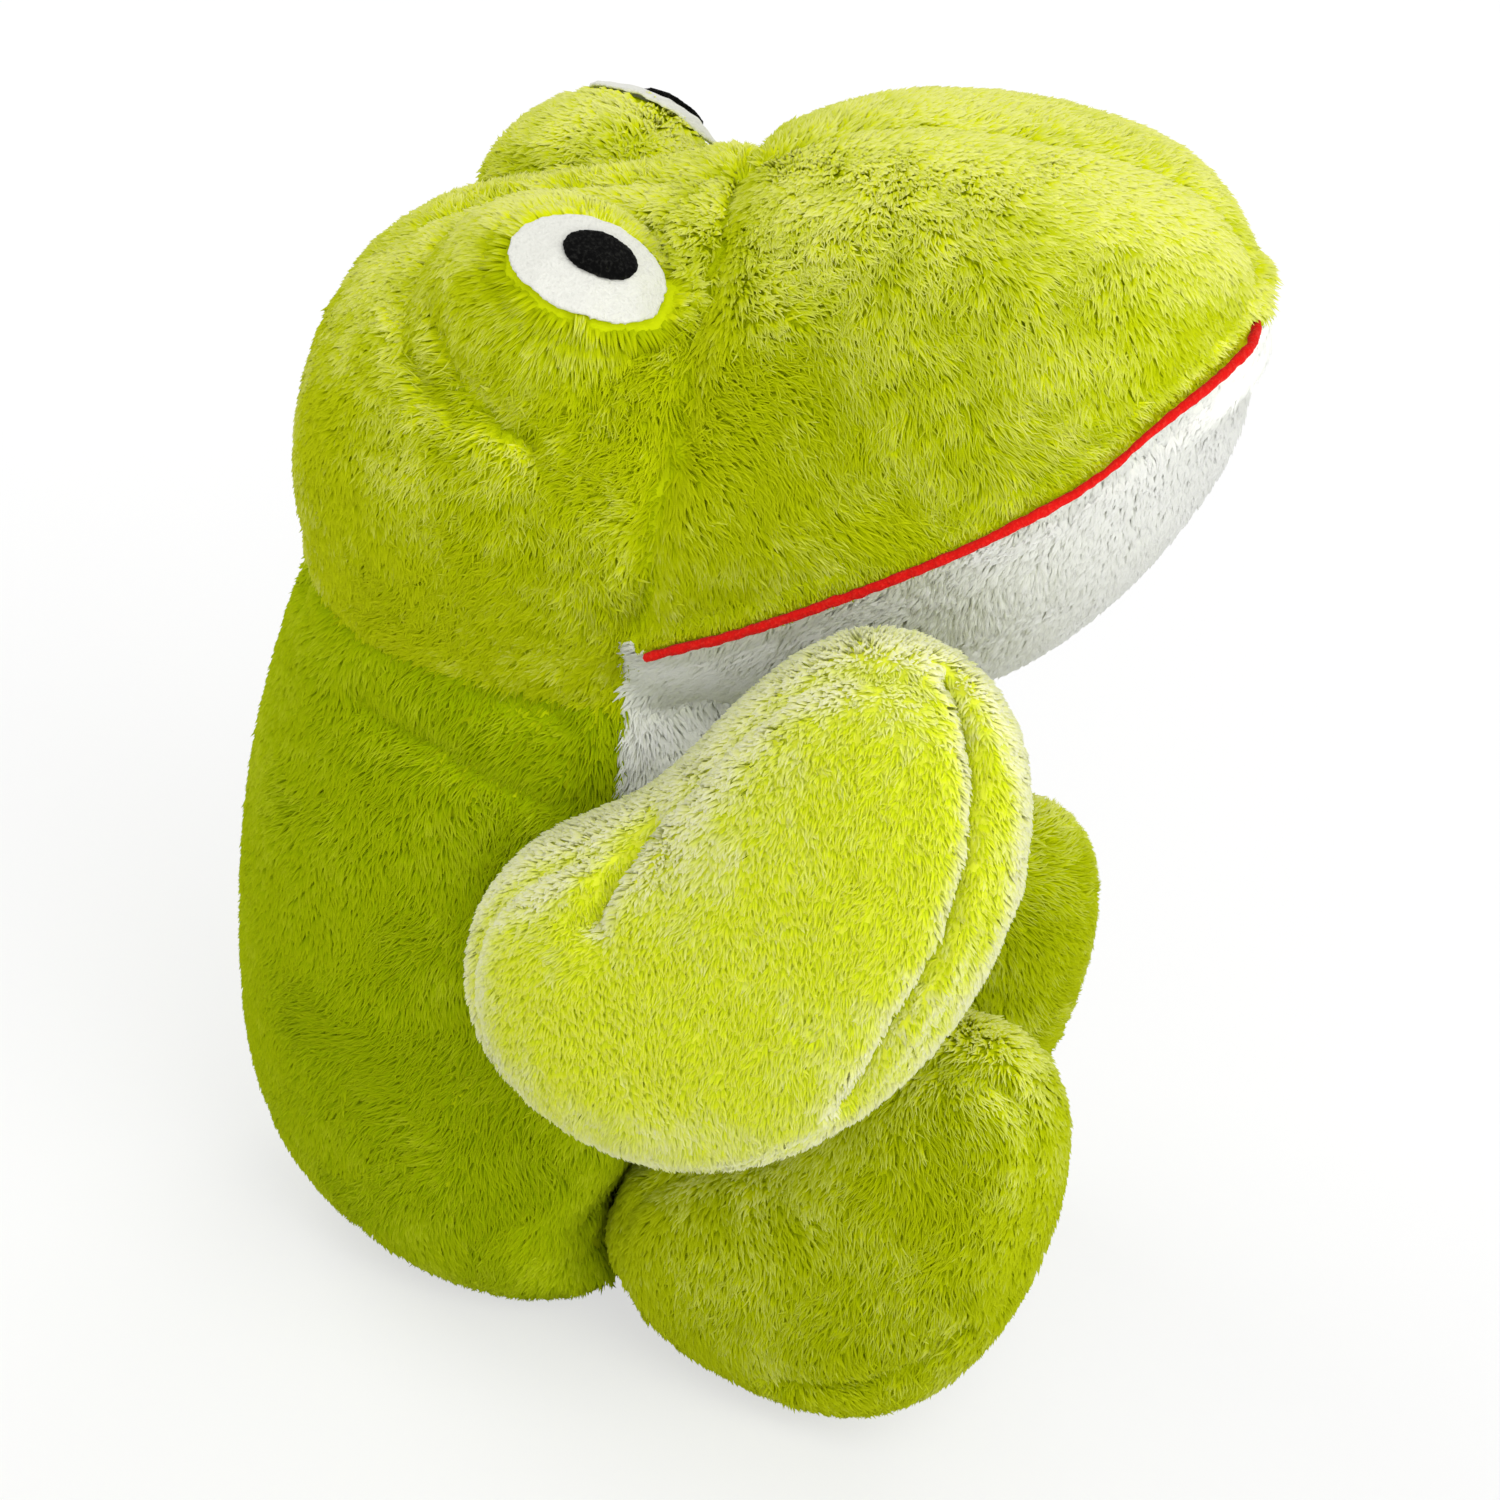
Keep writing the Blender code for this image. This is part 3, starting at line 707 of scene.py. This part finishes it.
# Locks on all the given roots, as one mesh. Each lies over along its way, and its tip gathers
# to that of the nearest guide, which makes tufts.
def growLocks(name, finish, roots, normals, along, coat, pale):
    count = len(roots)
    across = np.cross(normals, along)
    width = coat["width"] * dice.uniform(*lock["width"], (count, 1)) / 2
    rise = coat["rise"][:, None] * dice.uniform(*lock["rise"], (count, 1))
    lie = coat["lie"][:, None] * dice.uniform(*lock["lie"], (count, 1))
    tips = roots + normals * rise + along * lie
    guides = np.flatnonzero(dice.random(count) < 1 / coat["share"])
    tree = kdtree.KDTree(len(guides))
    for index in guides.tolist():
        tree.insert(roots[index], index)
    tree.balance()
    guide = np.array([tree.find(root)[1] for root in roots])
    tips += (tips[guide] - tips) * coat["gather"] * dice.uniform(*lock["gather"], (count, 1))
    backs = roots * (1 - lock["back"]) + tips * lock["back"] + normals * rise * lock["arch"]
    corners = np.empty((count, 4, 3))
    corners[:, rootOrder[0]] = roots - across * width - normals * width
    corners[:, rootOrder[1]] = roots + across * width - normals * width
    corners[:, rootOrder[2]] = backs + normals * width * 0.5
    corners[:, tipIndex] = tips
    corners[..., 2] = np.maximum(corners[..., 2], lock["ground"])
    faces = (spikeFaces[None] + np.arange(count)[:, None, None] * 4).reshape(-1, 3)
    mesh = bpy.data.meshes.new(name)
    mesh.from_pydata(corners.reshape(-1, 3), [], faces)
    tone = pale + dice.normal(0, lock["tone"], count) + dice.normal(0, lock["tone"], count)[guide]
    spread = np.linspace(-lock["toneSpread"], lock["toneSpread"], 4)
    spots = np.empty((count, 4, 2))
    spots[:, :, 0] = np.clip(tone, 0.02, 0.98)[:, None] + spread
    spots[:, rootOrder[0], 1] = spots[:, rootOrder[1], 1] = 0
    spots[:, rootOrder[2], 1] = lock["back"]
    spots[:, tipIndex, 1] = 1
    layer = mesh.uv_layers.new(name="OFBake")
    layer.data.foreach_set("uv", spots.reshape(-1, 2)[faces.ravel()].ravel())
    mesh.shade_smooth()
    # The locks take most of their shading from the skin, as light passes through real pile.
    facing = np.empty((count, 4, 3))
    facing[:, rootOrder[0]] = normals - across * lock["round"]
    facing[:, rootOrder[1]] = normals + across * lock["round"]
    facing[:, rootOrder[2]] = normals
    facing[:, tipIndex] = normals + along * lock["tipLean"]
    mesh.normals_split_custom_set_from_vertices(unit(facing.reshape(-1, 3)))
    return withMesh(name, mesh, finish)


# Random places all over a mesh, with the values of its points mixed to each place. How many
# fall on a face goes by its area on the skin before it was puffed up.
def scatter(piece, flat, dense, values):
    mesh = piece.data
    mesh.calc_loop_triangles()
    corners = np.empty(len(mesh.loop_triangles) * 3, dtype=int)
    mesh.loop_triangles.foreach_get("vertices", corners)
    corners = corners.reshape(-1, 3)
    a, b, c = (flat[corners[:, step]] for step in range(3))
    areas = np.linalg.norm(np.cross(b - a, c - a), axis=1) / 2
    expected = areas * dense[corners[:, 0]]
    counts = np.floor(expected + dice.random(len(expected))).astype(int)
    chosen = np.repeat(np.arange(len(corners)), counts)
    dice.shuffle(chosen)
    shares = dice.dirichlet((1, 1, 1), len(chosen))
    picked = corners[chosen]
    mixed = {key: np.einsum("ij,ij...->i...", shares, value[picked])
             for key, value in {
                 "place": points(mesh), "normal": points(mesh, "normal"), **values}.items()}
    mixed["point"] = picked[np.arange(len(chosen)), np.argmax(shares, axis=1)]
    mixed["normal"] = unit(mixed["normal"])
    return mixed


def noiseOver(places, size, seed):
    shift = Vector((seed * 3.7, seed * 1.3, seed * 2.1))
    return np.array([ripple.noise(Vector(place) / size + shift) for place in places])


# The pile of each part: the way it falls with x away from the middle, how far it lies over, how
# much tips gather and for how many locks to a guide, how much the way strays, and locks to a
# square metre. Top is how much paler painted light makes it where it faces up, as a lit top, and
# wide its locks against the usual.
coats = {
    "back": {"finish": "shadedBodyGreen", "way": (0.2, 0.15, -1), "lie": 0.0046, "gather": 0.35,
             "share": 9, "stray": 0.35, "perArea": 1.5e6},
    "belly": {"finish": "white", "way": (0.2, 0, -1), "lie": 0.0045, "gather": 0.3, "share": 10,
              "stray": 0.3, "perArea": 1.5e6},
    "seat": {"finish": "shadedBodyGreen", "way": (0, 1, 0), "lie": 0.0042, "gather": 0.3, "share": 10,
             "stray": 0.3, "perArea": 1.4e6},
    "cheek": {"finish": "green", "way": (0.6, 0.4, -0.8), "lie": 0.0046, "gather": 0.45,
              "share": 9, "stray": 0.55, "perArea": 2.2e6, "top": 1.0},
    "muzzle": {"finish": "green", "way": (0.35, -0.6, -0.6), "lie": 0.0056, "gather": 0.32,
               "share": 9, "stray": 0.38, "perArea": 2.3e6, "top": 1.0, "wide": 1.15},
    "chin": {"finish": "white", "way": (0, 0.8, -0.7), "lie": 0.0042, "gather": 0.22, "share": 10,
             "stray": 0.3, "perArea": 1.5e6, "wide": 1.15},
    "eye": {"finish": "green", "way": (0.5, 0.2, -0.8), "lie": 0.0042, "gather": 0.4, "share": 9,
            "stray": 0.45, "perArea": 2.3e6, "top": 1.2, "wide": 1.1},
    "arm": {"finish": "arm", "way": (0.6, -0.3, -0.8), "lie": 0.0022, "gather": 0.5, "share": 6,
            "stray": 0.5, "perArea": 1.9e6},
    "leg": {"finish": "shadedLegGreen", "way": (0.6, -0.3, -0.9), "lie": 0.0044, "gather": 0.35,
            "share": 9, "stray": 0.4, "perArea": 1.55e6, "top": 1.1},
}
pile = {"width": 0.0009, "share": 1}

# What the coats have in common.
grooming = {
    "turns": ((0.022, 1.3), (0.009, 0.7)),  # sizes of the swirls, and their turns in radians
    "patches": ((0.03, 0.45), (0.007, 0.4)),  # sizes of paler patches, and how pale they are
    "mostHeld": 0.75,  # no pile where the skin is held more than this
    "feltEdge": 0.0008,
    "mouthEdge": 0.0012,
    "seamReach": 0.004,
    "wayStray": 0.12,
    "rootLift": 0.0003,
    # Seams: the pile is lower there, and painted shade makes its locks deeper green.
    "seam": {"width": 0.003, "lower": 0.25, "seamShade": 0.3},
    # Creases: the pile is lower in them, and a painted highlight makes a paler ring on their lips.
    "crease": {"lower": 0.5, "paler": 0.35, "ringAt": 1.9, "ringWidth": 0.6},
    "felt": {"lean": 0.85, "from": 0.002, "to": 0.008, "toOnDome": 0.024,
             "ruff": 0.0016, "ruffAt": 0.003, "ruffWidth": 0.003},
    "mouth": {"room": 0.0006, "least": 0.0008, "tip": (0.008, 0.020), "tipRoom": 0.004},
    # Least paleness, and painted light: paler locks where they face up and on the arms' rims
    "pale": {"least": 0.08, "top": 0.5, "topLightPower": 2.4, "armLeast": 0.06, "armRimSheen": 1.6},
}
seamPile, creasePile, feltPile, mouthPile, paleToneAndLight = (grooming[name] for name in (
    "seam", "crease", "felt", "mouth", "pale"))
feltMiddles = np.array([points(nodes[f"eye_white_{side}"].data).mean(axis=0)
                        for side in ("left", "right")])

total = 0
for key, skin in skins.items():
    piece = skin["piece"]
    places = points(piece.data)
    turn, patch = (
        sum(noiseOver(places, size, seed) * amount
            for seed, (size, amount) in enumerate(grooming[name], first))
        for name, first in (("turns", 1), ("patches", 3)))
    dense = np.array([coats[node.split("_")[0]]["perArea"] for node in skin["nodes"]])
    found = scatter(piece, skin["flat"], dense[skin["panel"]] * pile["share"], {
        "turn": turn, "patch": patch, **skin["places"]})
    panels = skin["panel"][found["point"]]
    edge = np.flatnonzero((found["seam"] < grooming["seamReach"]) | (found["mouth"] < mouthReach))
    panels[edge] = sortPanels(skin, found["place"][edge], found["normal"][edge])[1]
    for index, node in enumerate(skin["nodes"]):
        coat = dict(coats[node.split("_")[0]])
        keep = (panels == index) & (found["held"] < grooming["mostHeld"])
        keep &= (found["felt"] > grooming["feltEdge"]) & (found["mouth"] > grooming["mouthEdge"])
        here = {name: value[keep] for name, value in found.items()}
        if not len(here["place"]):
            print(node, "has no pile")
            continue
        normals = here["normal"]
        way = np.broadcast_to(np.array(coat["way"], float), normals.shape)
        way = way + dice.normal(0, grooming["wayStray"], normals.shape)
        way[:, 0] *= np.sign(here["place"][:, 0])  # the pile falls to each side of the middle
        along = onSurface(way, normals)
        across = np.cross(normals, along)
        angle = (here["turn"] + dice.normal(0, coat["stray"], len(normals)))[:, None]
        along = along * np.cos(angle) + across * np.sin(angle)
        seam = dip(here["seam"], seamPile["width"])
        coat["rise"] = here["depth"] * (1 - seamPile["lower"] * seam) + grooming["rootLift"]
        if key == "frog":
            # round an eye the pile leans away from the felt, and above the mouth it stops short
            middles = feltMiddles[(here["place"][:, 0] < 0).astype(int)]
            away = onSurface(here["place"] - middles, normals)
            far = feltPile["toOnDome" if node.startswith("eye_dome") else "to"]
            share = feltPile["lean"] * (1 - soften(here["felt"], feltPile["from"], far))[:, None]
            along = unit(along * (1 - share) + away * share)
            coat["rise"] += feltPile["ruff"] * dip(
                here["felt"] - feltPile["ruffAt"], feltPile["ruffWidth"])
            tip = 1 - soften(np.abs(here["place"][:, 0]), *mouthPile["tip"])
            room = np.maximum(here["mouth"] - mouthPile["room"], mouthPile["least"])
            coat["lie"] = np.minimum(coat["lie"], room + tip * mouthPile["tipRoom"])
        else:
            coat["lie"] = np.full(len(normals), coat["lie"])
        coat["width"] = pile["width"] * coat.get("wide", 1)
        coat["rise"] *= 1 - creasePile["lower"] * dip(here["crease"], 1)
        if coat["finish"] == "arm":
            pale = paleToneAndLight["armLeast"] + here["patch"]
            # painted sheen: arm locks are paler where the skin turns edge-on to the x axis, as a bright rim
            pale += paleToneAndLight["armRimSheen"] * (1 - np.abs(normals[:, 0]))
        else:
            pale = paleToneAndLight["least"] + here["patch"]
            # painted light: locks that face up are paler, as tops in the light are
            upward = np.maximum(normals[:, 2], 0) ** paleToneAndLight["topLightPower"]
            pale += coat.get("top", paleToneAndLight["top"]) * upward
        # painted shade: locks along a seam go deeper green, as shade lies in its valley
        pale -= seamPile["seamShade"] * seam
        # painted highlight: a paler ring of locks on the lips beside each crease
        pale += creasePile["paler"] * dip(
            here["crease"] - creasePile["ringAt"], creasePile["ringWidth"])
        grown = growLocks(
            f"{node}_pile", coat["finish"], here["place"], normals, along, coat, pale)
        total += len(grown.data.polygons)
        print(grown.name, len(grown.data.polygons), "triangles")
        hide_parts(node)
        skin.setdefault("piles", []).append(grown)
print("pile grown,", total, "triangles")

# Head and body bend into each other over the neck, and the limbs ride on their own bodies.
neckBend = {"start": (0, 0.0439, 0.150), "end": (0, 0.0439, 0.178)}
for key, skin in skins.items():
    piece = skin["piece"]
    kind = key.split("_")[0]
    piece.data.materials.append(finishes["armBacking" if kind == "arm" else "frogBacking"])
    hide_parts(*skin["fill"])
    "arm_plush" if kind == "arm" else "green_plush"
    for part in [piece, *skin["piles"]]:
        if kind == "frog":
            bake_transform(part, "torso", "head", **neckBend)
        else:
            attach(part, key)
print("skins and pile in place")


# The felt of the eyes and the stitched mouth are closed copies of their solids with soft edges
# and a slightly uneven surface. The left eye is sewn on a little higher than the right one, and
# its pupil a little lower on it: the turns are in degrees about Y, through the dome's middle.
softPieces = {
    "eye_white": {"name": "eye_felt_piece", "finish": "whiteFelt", "slot": "white_felt",
                  "voxel": 0.0006, "uneven": 0.0002, "turn": {"left": -12, "right": 0}},
    "pupil": {"name": "pupil_piece", "finish": "blackFelt", "slot": "black_felt",
              "voxel": 0.0005, "uneven": 0.0002, "turn": {"left": 12, "right": 0}},
    "mouth_cord": {"name": "mouth_line", "finish": "redCord", "slot": "red_cord",
                   "voxel": 0.0005, "uneven": 0.0003},
}
softEdge = {"smoothing": 2, "lumps": 0.0022}


def softCopy(node, name, values, shape=None):
    piece = skinRound(name, [node], values["voxel"], softEdge["smoothing"])
    if shape:
        shape(piece.data)
    places, normals = points(piece.data), unit(points(piece.data, "normal"))
    lumps = values["uneven"] * noiseOver(places, softEdge["lumps"], 5)
    places += normals * lumps[:, None]
    setPoints(piece, places)
    piece.data.materials.append(finishes[values["finish"]])
    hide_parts(node)
    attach(piece, "head")
    return piece


for side in ("left", "right"):
    middle = points(nodes[f"eye_dome_{side}"].data).mean(axis=0)
    for node in ("eye_white", "pupil"):
        values = softPieces[node]
        piece = softCopy(f"{node}_{side}", f"{values['name']}_{side}", values)
        turn = Matrix.Rotation(math.radians(values["turn"][side]), 3, "Y")
        setPoints(piece, (points(piece.data) - middle) @ np.array(turn).T + middle)


def shapeMouth(mesh):
    layMouth(mesh)
    places = points(mesh) - unit(points(mesh, "normal")) * mouthLine["thin"]
    mesh.vertices.foreach_set("co", places.ravel())
    mesh.update()


softCopy("mouth_cord", softPieces["mouth_cord"]["name"], softPieces["mouth_cord"], shapeMouth)
print("eyes and mouth made")

# The floor takes the toy's shadow, and to the camera it fades to plain white further off.
floorPlane = {"size": 40, "colour": (0.86, 0.86, 0.86, 1), "glow": 0.62, "fade": (0.45, 1.5)}
bm = bmesh.new()
bmesh.ops.create_grid(bm, x_segments=1, y_segments=1, size=floorPlane["size"] / 2)
floorMesh = bpy.data.meshes.new("floor")
bm.to_mesh(floorMesh)
bm.free()
floor = withMesh("floor", floorMesh)
ground = newFinish("floor", 1)
ground.sockets["Base Color"].default_value = floorPlane["colour"]
glow = ground.node("ShaderNodeEmission", {}, {"Color": (1, 1, 1, 1), "Strength": 1})
seen = ground.node("ShaderNodeLightPath", {}, {}, "Is Camera Ray")
shader = Wire(ground.tree, ground.tree.nodes["Principled BSDF"].outputs[0])
place = ground.node("ShaderNodeTexCoord", {}, {}, "Object")
away = ground.node("ShaderNodeVectorMath", {"operation": "LENGTH"}, {0: place}, "Value")
white = ground.node("ShaderNodeMapRange", {"interpolation_type": "SMOOTHSTEP"}, {
    "Value": away, "From Min": floorPlane["fade"][0], "From Max": floorPlane["fade"][1],
    "To Min": floorPlane["glow"], "To Max": 1}, "Result")
surface = ground.node("ShaderNodeMixShader", {}, {0: seen * white, 1: shader, 2: glow})
surface.into(ground.tree.nodes["Material Output"].inputs["Surface"])
floorMesh.materials.append(ground.material)

# The room lights the toy softly from all sides, and the camera sees it as white.
room = {"colour": (1, 1, 1, 1), "light": 0.55, "seen": 1}
world = bpy.data.worlds.new("studio")
scene.world = world
world.use_nodes = True
studio = Finish(world.node_tree)
light, white = (
    studio.node("ShaderNodeBackground", {}, {"Color": room["colour"], "Strength": room[use]})
    for use in ("light", "seen"))
seen = studio.node("ShaderNodeLightPath", {}, {}, "Is Camera Ray")
sky = studio.node("ShaderNodeMixShader", {}, {0: seen, 1: light, 2: white})
sky.into(world.node_tree.nodes["World Output"].inputs["Surface"])
print("stage set")
